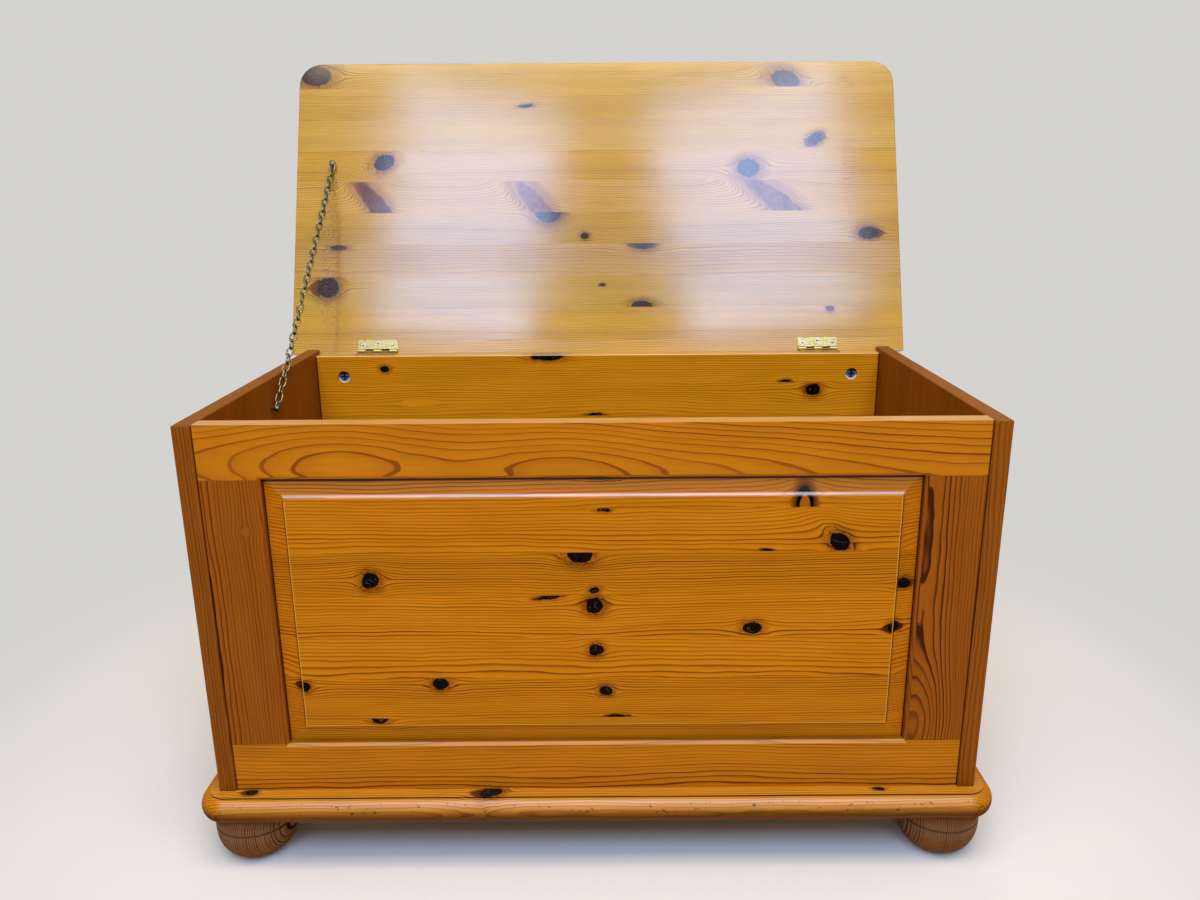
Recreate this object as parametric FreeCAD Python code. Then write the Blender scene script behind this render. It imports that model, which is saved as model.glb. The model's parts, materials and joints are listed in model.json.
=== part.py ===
import FreeCAD, Part
import math
import os

# A pine blanket chest with its lid standing open on a chain stay. Frame-and-panel front, plain
# board sides and back, a moulded base board that is also the floor, and four turned bun feet.
#
# x runs along the front, y from the front to the back and z up. While the pieces are made, x is 0
# in the middle, y is 0 at the front edges of the side panels and z is 0 on the floor. Sizes are in
# millimetres, angles in degrees.

V = FreeCAD.Vector
RIGHT = V(1, 0, 0)
BACK = V(0, 1, 0)
UP = V(0, 0, 1)

# Cross-shaped drive recesses, as shares of the radius of the head
drive_arm_share = 0.6
drive_slot_share = 0.16

# Clearances
joint_clearance = 0.1        # round a tongue, tenon, dowel or screw in its hole
running_clearance = 0.05     # round the hinge pin, on the radius
moving_clearance = 0.3       # between pieces that move past each other

# Side panels
box_width = 750.0            # over the outside of both side panels
side_thickness = 17.0
side_depth = 373.0
side_height = 376.0
side_arris = 1.6             # rounding of the edges that show

# Back panel, flush with the rear edges of the sides
back_thickness = 18.0
back_arris = 1.0

# Front frame
frame_thickness = 17.0
frame_setback = 1.5          # behind the front edges of the side panels
rail_width = 51.5
stile_width = 56.0
frame_arris = 0.7            # on the outer edges, where the frame meets the sides
sticking_chamfer = 2.7       # round the panel opening
groove_width = 6.0
groove_depth = 9.0
groove_setback = 7.5         # from the frame's face to the groove

# Raised and fielded front panel
tongue_depth = 8.0
field_setback = 1.0          # of the raised field behind the frame's face
field_margin = 19.5          # from the panel opening to the raised field
field_cove = 4.5             # radius of the hollow that drops from the field to the bevel

# Moulded edge of the base board: step, then a full nose
base_thickness = 25.0
base_overhang = 20.0         # past the side panels, at the front and both ends
base_corner_radius = 28.0
base_step_inset = 9.0        # from the outer edge in to the step
base_step_depth = 1.4
base_nose_height = 13.0      # from the top down to the widest part of the nose
base_under_inset = 7.0       # from the outer edge in to the flat underside

# The mouldings are cut from a blank this much bigger at the edges
mould_allowance = 1.0

# Lid, with a plain lower edge and a rounded, stepped upper one
lid_thickness = 18.0
lid_side_overhang = 21.0
lid_front_overhang = 13.5
lid_corner_radius = 30.0
lid_step_inset = 9.0
lid_step_depth = 1.2
lid_edge_height = 7.0        # of the plain part of the edge
lid_arris = 1.5
lid_seat_gap = 0.3           # between the closed lid and the side panels
lid_open_angle = 110.4       # the chain is taut here

# Bun feet
foot_radius = 40.8
foot_height = 55.0
foot_inset = 4.4             # from the outer edge of the base board
foot_top_radius = 37.0
foot_sole_radius = 17.5
foot_groove_drop = 17.0      # from the top of the foot to its turned ring
foot_groove_width = 2.4
foot_groove_depth = 1.6
foot_shoulder_lift = 1.5     # of the fullest part of the rounded shoulder above its middle
foot_belly_power = 2.6       # of the superellipse below the ring
foot_belly_points = 7

# Butt hinges with five knuckles
hinge_length = 50.8
hinge_inset = 91.0           # from the outside of a side panel to the middle of the hinge
leaf_width = 15.0            # from the pin's axis
leaf_thickness = 1.2
leaf_offset = 2.7            # from the pin's axis to the outer face of a leaf
leaf_corner = 1.0
knuckle_radius = 2.3
knuckle_count = 5
pin_radius = 1.15
hinge_back_gap = 0.4         # between the barrel and the rear face of the back panel
lid_rear_overhang = 2.6      # of the lid past the pin's axis

# Hinge screws, three to a leaf, the middle one further from the barrel
hinge_screw_spacing = 19.2
hinge_screw_reach = 7.6      # of the outer screws from the pin's axis
hinge_screw_stagger = 2.6
hinge_screw_length = 12.0
hinge_screw_shank = 1.4
hinge_screw_head = 2.7

# Cam fittings: a housing in the board's inner face, and a bolt from the side panel
cam_radius = 7.5
cam_height = 10.5
cam_recess = 2.0
cam_drive_depth = 1.4
cam_reach = 34.0             # from the side panel's face to the middle of the housing
cam_bolt_radius = 3.4
cam_bolt_neck = 1.8
cam_bolt_neck_length = 6.0
cam_bolt_head = 2.8
cam_bolt_head_length = 3.0
cam_thread_radius = 2.5
cam_thread_length = 11.0
back_cam_height = 32.0       # of the fittings below the side panel's top and above the base

# Dowels between the side panels and the boards between them
dowel_radius = 4.0
dowel_length = 30.0
dowel_side_depth = 11.0
dowel_height_share = (0.33, 0.67)

# Screws through the base board
base_screw_length = 56.0
base_screw_shank = 2.2
base_screw_head = 4.4
base_screw_shares = (0.22, 0.5, 0.78)
foot_screw_length = 66.0
foot_screw_shank = 2.6
foot_screw_head = 5.0

# Chain stay
chain_side_back = 194.5      # from the front edge of the left side panel to the side screw
chain_side_drop = 33.0       # from the top of the side panel to the side screw
chain_lid_reach = 252.6      # from the lid's rear edge to the lid screw
chain_lid_inset = 10.0       # from the side panel's inner face to the lid screw
chain_standoff = 5.0         # from the wood to the middle of the end links
link_pitch_wanted = 10.5
link_width = 8.8
link_wire_radius = 1.0
link_play = 0.05             # between one link and the next
chain_break_gap = 0.4        # between the two halves of the chain
chain_back_clearance = 8.0   # between the lower half's arc and the back panel
chain_screw_shank = 1.75
chain_screw_head = 4.0
chain_screw_head_height = 2.4
chain_screw_grip = 12.0      # length in the wood

# Places worked out from the sizes above
base_top = foot_height + base_thickness
side_inner = box_width / 2 - side_thickness
side_top = base_top + side_height
frame_face = frame_setback
frame_back = frame_face + frame_thickness
opening_half = side_inner - stile_width
opening_low = base_top + rail_width
opening_high = side_top - rail_width
groove_front = frame_face + groove_setback
back_inner = side_depth - back_thickness
lid_underside = side_top + lid_seat_gap
hinge_spacing = box_width - 2 * hinge_inset
axis_y = side_depth + hinge_back_gap + knuckle_radius
axis_z = lid_underside - leaf_offset
back_top = axis_z - leaf_offset
lid_rear = axis_y + lid_rear_overhang
lid_front = -lid_front_overhang
lid_half = box_width / 2 + lid_side_overhang
foot_x = box_width / 2 + base_overhang - foot_inset - foot_radius
foot_front_y = -base_overhang + foot_inset + foot_radius
foot_rear_y = side_depth - foot_inset - foot_radius


# ---------------------------------------------------------------- drawing helpers

def box_between(low, high):
    """A box from its lowest corner to its highest."""
    size = V(*high) - V(*low)
    return Part.makeBox(size.x, size.y, size.z, V(*low))


def aim(shape, point, direction):
    """A copy of a shape drawn along +Z at the origin, moved to a point and turned to a direction."""
    placed = shape.copy()
    placed.Placement = FreeCAD.Placement(point, FreeCAD.Rotation(UP, direction))
    return placed


def group(solids):
    """Separate solids kept together in one node."""
    return Part.makeCompound(solids)


def quarter_ellipse(start, end, centre):
    """The quarter of an ellipse that joins two points about a centre."""
    far, close = sorted((start, end), key=lambda point: -point.distanceToPoint(centre))
    return Part.ArcOfEllipse(Part.Ellipse(far, close, centre), 0, math.pi / 2).toShape()


def outline_face(points):
    """A flat face from points; a pair in the list is a quarter ellipse's centre and its end."""
    edges = []
    corner = points[0]
    for item in points[1:] + [points[0]]:
        if isinstance(item, tuple):
            edges.append(quarter_ellipse(corner, item[1], item[0]))
            corner = item[1]
        elif not item.isEqual(corner, 1e-6):
            edges.append(Part.makeLine(corner, item))
            corner = item
    return Part.Face(Part.Wire(edges))


def placed_outline(profile, place):
    """A flat face from a profile of number pairs, each put in space by a function."""
    return outline_face([
        (place(*item[0]), place(*item[1])) if isinstance(item[0], tuple) else place(*item)
        for item in profile
    ])


def edges_where(shape, test):
    """The edges of a shape whose middle point passes a test."""
    return [edge for edge in shape.Edges if test(edge.CenterOfMass)]


def near(value, target):
    return abs(value - target) < 1e-4


def mirrored(shape):
    """The same shape on the other side of the middle plane."""
    return shape.mirror(V(0, 0, 0), RIGHT)


def cross_recess(radius, depth):
    """Tool that cuts a cross-head recess into a screw head whose top is at z = 0."""
    slot = drive_slot_share * radius
    reach = drive_arm_share * radius
    arm = box_between((-reach, -slot, -depth), (reach, slot, depth))
    other = box_between((-slot, -reach, -depth), (slot, reach, depth))
    return arm.fuse(other)


def countersunk_screw(length, shank, head, grow=0.0):
    """A countersunk wood screw, its head flush with z = 0 and its shank down -Z.

    With grow it is the hole that such a screw sits in.
    """
    outline = outline_face([
        V(0, 0, grow),
        V(head + grow, 0, grow),
        V(head + grow, 0, 0),
        V(shank + grow, 0, shank - head),
        V(shank + grow, 0, 2 * shank - length),
        V(0, 0, -length - grow),
    ])
    screw = outline.revolve(V(0, 0, 0), UP, 360)
    if grow:
        return screw
    return screw.cut(cross_recess(head, head / 2))


def round_head_screw(standoff, grow=0.0):
    """A chain screw: shank out of the wood at z = 0, domed head, point down -Z."""
    shank = chain_screw_shank + grow
    if grow:
        return Part.makeCylinder(shank, chain_screw_grip + grow, V(0, 0, -chain_screw_grip - grow))
    top = standoff + chain_screw_head_height
    outline = outline_face([
        V(0, 0, top),
        (V(0, 0, standoff), V(chain_screw_head, 0, standoff)),
        V(shank, 0, standoff),
        V(shank, 0, 2 * shank - chain_screw_grip),
        V(0, 0, -chain_screw_grip),
    ])
    screw = outline.revolve(V(0, 0, 0), UP, 360)
    recess = cross_recess(chain_screw_head, chain_screw_head_height / 2)
    return screw.cut(recess.translated(V(0, 0, top)))


# ---------------------------------------------------------------- fasteners and their seats

def base_screw_seats():
    """Heads on the underside of the base board, pointing up into sides, front rail and back."""
    side_middle = side_inner + side_thickness / 2
    front_middle = frame_face + frame_thickness / 2
    back_middle = back_inner + back_thickness / 2
    seats = []
    for share in base_screw_shares:
        seats.append((side_middle, share * side_depth))
        seats.append((-side_middle, share * side_depth))
        across = (2 * share - 1) * side_inner
        seats.append((across, front_middle))
        seats.append((across, back_middle))
    return [V(x, y, foot_height) for x, y in seats]


def foot_seats():
    """Centres of the four feet, on the floor, by name."""
    return {
        "front_left": V(-foot_x, foot_front_y, 0),
        "front_right": V(foot_x, foot_front_y, 0),
        "rear_left": V(-foot_x, foot_rear_y, 0),
        "rear_right": V(foot_x, foot_rear_y, 0),
    }


def base_screws(grow=0.0):
    screw = countersunk_screw(base_screw_length, base_screw_shank, base_screw_head, grow)
    return [aim(screw, seat, -UP) for seat in base_screw_seats()]


def foot_screws(grow=0.0):
    screw = countersunk_screw(foot_screw_length, foot_screw_shank, foot_screw_head, grow)
    return [aim(screw, V(seat.x, seat.y, base_top), UP) for seat in foot_seats().values()]


def cam_seats():
    """Right-hand fittings: middle of the housing's mouth, and the way the mouth faces."""
    middle_x = side_inner - cam_reach
    low = base_top + rail_width / 2
    high = side_top - rail_width / 2
    seats = [(V(middle_x, frame_back, height), BACK) for height in (low, high)]
    for height in (base_top + back_cam_height, side_top - back_cam_height):
        seats.append((V(middle_x, back_inner, height), -BACK))
    return seats


def board_middle(mouth, faces):
    """The point in the middle of the board's thickness behind a cam housing's mouth."""
    thickness = frame_thickness if faces == BACK else back_thickness
    return mouth - faces * (thickness / 2)


def cam_lock():
    """Zinc housing, its face at z = 0, with a slot that takes the bolt's head from +X."""
    lock = Part.makeCylinder(cam_radius, cam_height, V(0, 0, -cam_height))
    return lock.cut(cross_recess(cam_radius, cam_drive_depth))


def cam_locks():
    locks = []
    for mouth, faces in cam_seats():
        lock = aim(cam_lock(), mouth - faces * cam_recess, faces)
        middle = board_middle(mouth, faces)
        head_room = cam_bolt_radius + joint_clearance
        slot = Part.makeCylinder(head_room, 2 * cam_radius, middle - RIGHT * cam_bolt_head_length, RIGHT)
        lock = lock.cut(slot)
        locks += [lock, mirrored(lock)]
    return locks


def cam_pockets():
    pockets = []
    depth = cam_recess + cam_height + joint_clearance
    for mouth, faces in cam_seats():
        pocket = Part.makeCylinder(cam_radius + joint_clearance, depth, mouth, -faces)
        pockets += [pocket, mirrored(pocket)]
    return pockets


def cam_bolt(grow=0.0):
    """A bolt along +Z: threaded end below z = 0, shank, neck and head above it."""
    shank_end = cam_reach - cam_bolt_neck_length - cam_bolt_head_length / 2
    neck_end = shank_end + cam_bolt_neck_length
    if grow:
        thread = Part.makeCylinder(cam_thread_radius + grow, cam_thread_length + grow, V(0, 0, 0), -UP)
        shank = Part.makeCylinder(cam_bolt_radius + grow, cam_reach)
        return thread.fuse(shank)
    thread = Part.makeCylinder(cam_thread_radius, cam_thread_length, V(0, 0, 0), -UP)
    shank = Part.makeCylinder(cam_bolt_radius, shank_end)
    neck = Part.makeCylinder(cam_bolt_neck, cam_bolt_neck_length, V(0, 0, shank_end))
    head = Part.makeCylinder(cam_bolt_head, cam_bolt_head_length, V(0, 0, neck_end))
    return thread.fuse([shank, neck, head])


def cam_bolts(grow=0.0):
    bolts = []
    for mouth, faces in cam_seats():
        middle = board_middle(mouth, faces)
        bolt = aim(cam_bolt(grow), V(side_inner, middle.y, middle.z), -RIGHT)
        bolts += [bolt, mirrored(bolt)]
    return bolts


def dowels(grow=0.0):
    """Dowels between side panels and the front stiles and back panel."""
    pins = []
    span = rail_width + groove_depth
    low = base_top + span
    high = side_top - span
    for y in (frame_face + frame_thickness / 2, back_inner + back_thickness / 2):
        for share in dowel_height_share:
            start = V(side_inner + dowel_side_depth + grow, y, low + share * (high - low))
            pin = Part.makeCylinder(dowel_radius + grow, dowel_length + 2 * grow, start, -RIGHT)
            pins += [pin, mirrored(pin)]
    return pins


# ---------------------------------------------------------------- moulded boards

def edge_path(half_width, front, rear, height, radius):
    """The edge of a board with rounded front corners, from past its rear left corner."""
    turn = radius * (1 - math.sqrt(0.5))
    left = -half_width
    left_start = V(left, rear + mould_allowance, height)
    left_corner = V(left, front + radius, height)
    left_turn = V(left + turn, front + turn, height)
    front_left = V(left + radius, front, height)
    front_right = V(-left - radius, front, height)
    right_turn = V(-left - turn, front + turn, height)
    right_corner = V(-left, front + radius, height)
    right_end = V(-left, rear + mould_allowance, height)
    return Part.Wire([
        Part.makeLine(left_start, left_corner),
        Part.Arc(left_corner, left_turn, front_left).toShape(),
        Part.makeLine(front_left, front_right),
        Part.Arc(front_right, right_turn, right_corner).toShape(),
        Part.makeLine(right_corner, right_end),
    ])


def moulded_board(half_width, front, rear, low, high, radius, profile):
    """A board with rounded front corners and a moulding along its front and both ends.

    The profile runs up from the underside to the top face as (inwards from the edge, height),
    with quarter ellipses as in outline_face.
    """
    blank = box_between(
        (-half_width - mould_allowance, front - mould_allowance, low),
        (half_width + mould_allowance, rear, high),
    )
    corners = edges_where(
        blank, lambda p: near(p.z, (low + high) / 2) and near(p.y, front - mould_allowance)
    )
    blank = blank.makeFillet(radius + mould_allowance, corners)
    outside = -2 * mould_allowance
    waste = (
        [(outside, low - 1), (profile[0][0], low - 1)]
        + profile
        + [(profile[-1][0], high + 1), (outside, high + 1)]
    )
    path = edge_path(half_width, front, rear, low, radius)
    start = path.Vertexes[0].Point
    section = placed_outline(waste, lambda inwards, z: V(start.x + inwards, start.y, z))
    return blank.cut(path.makePipeShell([section.OuterWire], True, False, 1))


def base_board():
    """Base board: flat top, small step, full nose and flat underside on three edges."""
    nose_z = base_top - base_nose_height
    board = moulded_board(
        box_width / 2 + base_overhang, -base_overhang, side_depth,
        foot_height, base_top, base_corner_radius,
        [
            (base_under_inset, foot_height),
            ((base_under_inset, nose_z), (0, nose_z)),
            ((base_step_inset, nose_z), (base_step_inset, base_top - base_step_depth)),
            (base_step_inset, base_top),
        ],
    )
    return board.cut(base_screws(joint_clearance) + foot_screws(joint_clearance))


def lid_board():
    """Lid, closed: plain lower edge, then a rounded upper edge up to a small step."""
    top = lid_underside + lid_thickness
    shoulder = lid_underside + lid_edge_height
    board = moulded_board(
        lid_half, lid_front, lid_rear, lid_underside, top, lid_corner_radius,
        [
            (lid_arris, lid_underside),
            ((lid_arris, lid_underside + lid_arris), (0, lid_underside + lid_arris)),
            (0, shoulder),
            ((lid_step_inset, shoulder), (lid_step_inset, top - lid_step_depth)),
            (lid_step_inset, top),
        ],
    )
    hinge_holes = [hole for x in hinge_centres() for hole in leaf_screws(x, 1, joint_clearance)]
    return board.cut(hinge_holes + [chain_lid_screw(joint_clearance)])


# ---------------------------------------------------------------- boards of the carcass

def side_panel(is_left):
    panel = box_between((side_inner, 0, base_top), (box_width / 2, side_depth, side_top))
    shown = edges_where(panel, lambda p: near(p.y, 0) and p.z > base_top + 1)
    shown += edges_where(panel, lambda p: near(p.z, side_top) and p.y > 1 and p.y < side_depth - 1)
    panel = panel.makeFillet(side_arris, shown)
    if is_left:
        panel = mirrored(panel).cut([chain_side_screw(joint_clearance)])
    holes = base_screws(joint_clearance) + cam_bolts(joint_clearance) + dowels(joint_clearance)
    return panel.cut(holes)


def back_panel():
    panel = box_between((-side_inner, back_inner, base_top), (side_inner, side_depth, back_top))
    shown = edges_where(panel, lambda p: near(p.z, back_top) and near(p.x, 0))
    panel = panel.makeFillet(back_arris, shown)
    hinge_holes = [hole for x in hinge_centres() for hole in leaf_screws(x, -1, joint_clearance)]
    holes = base_screws(joint_clearance) + cam_bolts(joint_clearance) + dowels(joint_clearance)
    return panel.cut(holes + cam_pockets() + hinge_holes)


def panel_groove():
    """The room that the groove all round the panel opening takes out of the frame."""
    return box_between(
        (-opening_half - groove_depth, groove_front, opening_low - groove_depth),
        (opening_half + groove_depth, groove_front + groove_width, opening_high + groove_depth),
    )


def opening_chamfer():
    """The tapered plug whose flanks are the chamfers round the panel opening."""
    front = frame_face - 1
    wide = opening_half + sticking_chamfer + 1
    grow = sticking_chamfer + 1
    return Part.makeWedge(
        -wide, front, opening_low - grow, opening_low, -opening_half,
        wide, frame_face + sticking_chamfer, opening_high + grow, opening_high, opening_half,
    )


def frame_rail(low):
    """A rail that runs from side panel to side panel, its lower edge at a height."""
    high = low + rail_width
    rail = box_between((-side_inner, frame_face, low), (side_inner, frame_back, high))
    ends = edges_where(rail, lambda p: near(p.y, frame_face) and near(abs(p.x), side_inner))
    rail = rail.makeChamfer(frame_arris, ends)
    tenon_room = box_between(
        (-side_inner - 1, groove_front, opening_low - groove_depth),
        (side_inner + 1, groove_front + groove_width, opening_high + groove_depth),
    )
    holes = base_screws(joint_clearance) + cam_bolts(joint_clearance) + cam_pockets()
    return rail.cut([tenon_room, opening_chamfer()] + holes)


def frame_stile(is_left):
    """A stile between the rails, with a stub tenon the full width at each end."""
    stile = box_between((opening_half, frame_face, opening_low), (side_inner, frame_back, opening_high))
    outer = edges_where(stile, lambda p: near(p.y, frame_face) and near(p.x, side_inner))
    stile = stile.makeChamfer(frame_arris, outer)
    reach = groove_depth - 2 * joint_clearance
    tenon = box_between(
        (opening_half + groove_depth, groove_front + joint_clearance, opening_low - reach),
        (side_inner, groove_front + groove_width - joint_clearance, opening_high + reach),
    )
    stile = stile.fuse(tenon).removeSplitter()
    stile = stile.cut([panel_groove(), opening_chamfer()] + cam_bolts(joint_clearance))
    stile = stile.cut(stile_dowel_holes())
    return mirrored(stile) if is_left else stile


def stile_dowel_holes():
    return [hole for hole in dowels(joint_clearance) if hole.BoundBox.YMax < frame_back + 1]


def front_panel():
    """Raised and fielded panel: tongue, sloping bevel, cove and flat field, mitred corners."""
    field_face = frame_face + field_setback
    tongue_front = groove_front + joint_clearance
    tongue_back = groove_front + groove_width - joint_clearance
    half = opening_half + tongue_depth
    low = opening_low - tongue_depth
    high = opening_high + tongue_depth
    panel = box_between((-half, field_face, low), (half, tongue_back, high))
    bevel_end = tongue_depth + field_margin - field_cove
    field_edge = tongue_depth + field_margin
    cove_drop = field_face + field_cove
    profile = [
        (-1, field_face - 1),
        (-1, tongue_front),
        (tongue_depth, tongue_front),
        (bevel_end, cove_drop),
        ((bevel_end, field_face), (field_edge, field_face)),
        (field_edge, field_face - 1),
    ]

    across = RIGHT * (2 * half)
    upward = UP * (high - low)
    return panel.cut([
        placed_outline(profile, lambda d, y: V(-half, y, low + d)).extrude(across),
        placed_outline(profile, lambda d, y: V(-half, y, high - d)).extrude(across),
        placed_outline(profile, lambda d, y: V(-half + d, y, low)).extrude(upward),
        placed_outline(profile, lambda d, y: V(half - d, y, low)).extrude(upward),
    ])


def bun_foot(seat):
    """Turned foot: short shoulder, incised ring, then a belly that draws in to the sole."""
    ring = foot_height - foot_groove_drop
    ring_top = ring + foot_groove_width / 2
    ring_low = ring - foot_groove_width / 2
    ring_deep = V(foot_radius - foot_groove_depth, 0, ring)
    shoulder_middle = V(
        (foot_top_radius + 3 * foot_radius) / 4, 0, (foot_height + ring_top) / 2 + foot_shoulder_lift
    )
    belly_depth = ring_low / (1 - (foot_sole_radius / foot_radius) ** foot_belly_power) ** (
        1 / foot_belly_power
    )
    belly = []
    for step in range(foot_belly_points + 1):
        z = ring_low * (1 - step / foot_belly_points)
        drop = (ring_low - z) / belly_depth
        radius = foot_radius * (1 - drop ** foot_belly_power) ** (1 / foot_belly_power)
        belly.append(V(radius, 0, z))
    curve = Part.BSplineCurve()
    curve.interpolate(belly)
    top_edge = V(foot_top_radius, 0, foot_height)
    ring_start = V(foot_radius, 0, ring_top)
    edges = [
        Part.makeLine(V(0, 0, foot_height), top_edge),
        Part.Arc(top_edge, shoulder_middle, ring_start).toShape(),
        Part.Arc(ring_start, ring_deep, V(foot_radius, 0, ring_low)).toShape(),
        curve.toShape(),
        Part.makeLine(belly[-1], V(0, 0, 0)),
        Part.makeLine(V(0, 0, 0), V(0, 0, foot_height)),
    ]
    foot = Part.Face(Part.Wire(edges)).revolve(V(0, 0, 0), UP, 360)
    return foot.translated(seat).cut(foot_screws(joint_clearance))


# ---------------------------------------------------------------- hinges, drawn with the lid closed

def hinge_centres():
    return (-hinge_spacing / 2, hinge_spacing / 2)


def leaf_screws(centre_x, side, grow=0.0):
    """The three screws of one leaf; side is 1 for the lid's leaf and -1 for the back panel's."""
    screw = countersunk_screw(hinge_screw_length, hinge_screw_shank, hinge_screw_head, grow)
    face = axis_z + side * (leaf_offset - leaf_thickness)
    screws = []
    for place in (-1, 0, 1):
        reach = hinge_screw_reach + (hinge_screw_stagger if place == 0 else 0)
        point = V(centre_x + place * hinge_screw_spacing, axis_y - reach, face)
        screws.append(aim(screw, point, -UP * side))
    return screws


def hinge_leaf(centre_x, side, knuckles):
    """One leaf and its knuckles; side is as in leaf_screws."""
    pitch = hinge_length / knuckle_count
    start = centre_x - hinge_length / 2
    inner = side * (leaf_offset - leaf_thickness)
    outer = side * leaf_offset
    low = V(start, axis_y - leaf_width, axis_z + min(inner, outer))
    plate = Part.makeBox(hinge_length, leaf_width, leaf_thickness, low)
    corners = edges_where(plate, lambda p: near(p.y, low.y) and near(p.z, low.z + leaf_thickness / 2))
    plate = plate.makeFillet(leaf_corner, corners)
    notch_reach = leaf_offset + moving_clearance
    for slot in range(knuckle_count):
        left = start + slot * pitch
        if slot in knuckles:
            left_gap = moving_clearance / 2 if slot else 0
            right_gap = moving_clearance / 2 if slot < knuckle_count - 1 else 0
            barrel = Part.makeCylinder(
                knuckle_radius, pitch - left_gap - right_gap, V(left + left_gap, axis_y, axis_z), RIGHT
            )
            plate = plate.fuse(barrel)
        else:
            notch = box_between(
                (left - moving_clearance / 2, axis_y - notch_reach, axis_z - leaf_width),
                (left + pitch + moving_clearance / 2, axis_y + leaf_width, axis_z + leaf_width),
            )
            plate = plate.cut(notch)
    bore = Part.makeCylinder(
        pin_radius + running_clearance, hinge_length + 2, V(start - 1, axis_y, axis_z), RIGHT
    )
    return plate.cut([bore] + leaf_screws(centre_x, side, joint_clearance)).removeSplitter()


def hinge_pin(centre_x):
    end = V(centre_x - hinge_length / 2, axis_y, axis_z)
    return Part.makeCylinder(pin_radius, hinge_length, end, RIGHT)


# ---------------------------------------------------------------- chain stay

def opened(shape):
    """A shape of the closed lid, turned with the lid to where the chain stops it."""
    turned = shape.copy()
    turned.rotate(V(0, axis_y, axis_z), RIGHT, -lid_open_angle)
    return turned


def opened_point(point):
    turn = FreeCAD.Rotation(RIGHT, -lid_open_angle)
    pivot = V(0, axis_y, axis_z)
    return pivot + turn.multVec(point - pivot)


def side_screw_seat():
    return V(-side_inner, chain_side_back, side_top - chain_side_drop)


def lid_screw_seat():
    return V(-side_inner + chain_lid_inset, lid_rear - chain_lid_reach, lid_underside)


def screw_standoff():
    """From the wood to the underside of a chain screw's head."""
    return chain_standoff + link_wire_radius + moving_clearance


def chain_side_screw(grow=0.0):
    return aim(round_head_screw(screw_standoff(), grow), side_screw_seat(), RIGHT)


def chain_lid_screw(grow=0.0):
    return aim(round_head_screw(screw_standoff(), grow), lid_screw_seat(), -UP)


def end_hook():
    """From a chain screw's axis back to the middle of the link's wire behind it."""
    return chain_screw_shank + link_wire_radius + link_play


def link_overlap():
    """How far one link reaches into the next, between the middles of their wires."""
    return 2 * link_wire_radius + link_play


def break_reach():
    """Between the middles of the two wires where the chain's halves part."""
    return 2 * link_wire_radius + chain_break_gap


def chain_layout():
    """Where the loose links hang when the lid is open.

    Returns the start and direction of the chain, the distance between the wire middles of one
    link, the number of links in the lower and the upper half, and the end of the lid's own link.
    """
    start = side_screw_seat() + RIGHT * chain_standoff
    link_span = link_pitch_wanted + link_overlap()
    hook_closed = lid_screw_seat() - UP * chain_standoff + BACK * (link_span - end_hook())
    run = opened_point(hook_closed) - start
    count = 2 * round((run.Length / link_pitch_wanted - 1) / 2) + 1
    reach = run.Length + end_hook() - break_reach()
    span = (reach + (count - 1) * link_overlap()) / count
    room = back_inner - start.y - chain_back_clearance
    lower = 2 * int(room / (2 * (span - link_overlap())))
    return start, run.normalize(), span, lower, count - lower, hook_closed


def link(span):
    """An oval link along +Z from one wire middle at z = 0 to the other; it lies in the YZ plane."""
    bend = link_width / 2 - link_wire_radius
    path = Part.Wire([
        Part.makeLine(V(0, -bend, span / 2), V(0, -bend, bend)),
        Part.Arc(V(0, -bend, bend), V(0, 0, 0), V(0, bend, bend)).toShape(),
        Part.makeLine(V(0, bend, bend), V(0, bend, span - bend)),
        Part.Arc(V(0, bend, span - bend), V(0, 0, span), V(0, -bend, span - bend)).toShape(),
        Part.makeLine(V(0, -bend, span - bend), V(0, -bend, span / 2)),
    ])
    section = Part.Wire(Part.makeCircle(link_wire_radius, V(0, -bend, span / 2), UP))
    return path.makePipeShell([section], True, False, 1)


def link_at(point, direction, span, across):
    """A link from a point along a direction; its flat side faces along x unless it lies across."""
    side = BACK.cross(UP) if not across else direction.cross(RIGHT)
    placed = link(span)
    turn = FreeCAD.Rotation(side, direction.cross(side), direction, "ZXY")
    placed.Placement = FreeCAD.Placement(point, turn)
    return placed


def chain_links():
    """The loose links in order, lower half first, as two lists."""
    start, along, span, lower, upper, _ = chain_layout()
    travel = -end_hook()
    links = []
    for index in range(lower + upper):
        if index == lower:
            travel += link_overlap() + break_reach()
        links.append(link_at(start + along * travel, along, span, index % 2 == 1))
        travel += span - link_overlap()
    return links[:lower], links[lower:]


def chain_lid_link():
    """The last link, flat under the lid screw's head, drawn with the lid closed."""
    _, _, span, _, _, hook = chain_layout()
    return link_at(hook - BACK * span, BACK, span, True)


# ---------------------------------------------------------------- the chest

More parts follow.
